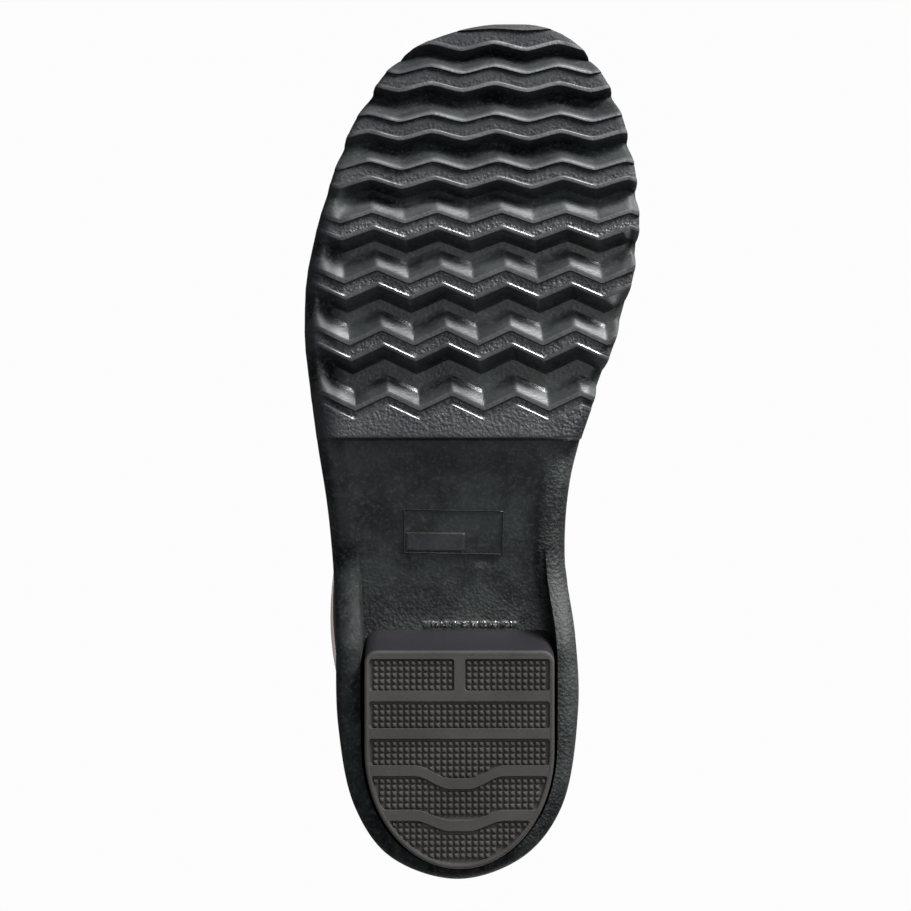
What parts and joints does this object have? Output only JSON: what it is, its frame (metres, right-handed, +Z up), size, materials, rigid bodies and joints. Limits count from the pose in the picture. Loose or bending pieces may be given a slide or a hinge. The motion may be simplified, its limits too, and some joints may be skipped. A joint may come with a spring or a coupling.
{
  "type": "deck boot",
  "caption": "Right-foot pull-on rubber deck boot with a zigzag non-slip tread, panelled heel, rubber foxing and knit lining.",
  "frame": {"origin": "under the middle of the boot's outer box, on the plane the tread stands on", "axes": "+Z up, the toe points to -Y and the heel to +Y, +X is the inner (medial) side of this right boot"},
  "size_m": [0.1196, 0.3049, 0.3729],
  "materials": {
    "sole_rubber": "moulded carbon-black rubber, matt, with scuffed ridge tops",
    "heel_rubber": "moulded brown-grey rubber, matt",
    "foxing_rubber": "pebbled black calendered rubber",
    "upper_rubber": "bronze-brown dipped rubber, satin",
    "overlay_rubber": "bronze-brown calendered rubber, satin",
    "binding_rubber": "black rolled rubber edging",
    "knit_lining": "bonded cotton knit",
    "stiffener_fibre": "rubberised fibre sheet",
    "insole_fibreboard": "pressed fibreboard",
    "shank_steel": "rolled spring steel, bright",
    "sponge": "closed-cell sponge rubber",
    "heel_filler": "reclaimed rubber filler",
    "footbed_felt": "felt on foam"
  },
  "bodies": {
    "root": {"outsole": "sole_rubber", "heel_block": "heel_rubber", "heel_core": "heel_filler", "toe_guard": "foxing_rubber", "foxing_band": "foxing_rubber", "foot_upper": "upper_rubber", "leg_shaft": "upper_rubber", "toe_cap": "overlay_rubber", "heel_overlay": "overlay_rubber", "ankle_seam_band": "overlay_rubber", "back_stay": "overlay_rubber", "heel_kick_lug": "foxing_rubber", "top_binding": "binding_rubber", "lining_foot": "knit_lining", "lining_leg": "knit_lining", "toe_puff": "stiffener_fibre", "heel_counter": "stiffener_fibre", "midsole_filler": "sponge", "steel_shank": "shank_steel", "insole_board": "insole_fibreboard", "shank_rivet_front": "shank_steel", "shank_rivet_rear": "shank_steel", "footbed": "footbed_felt"}
  },
  "joints": []
}
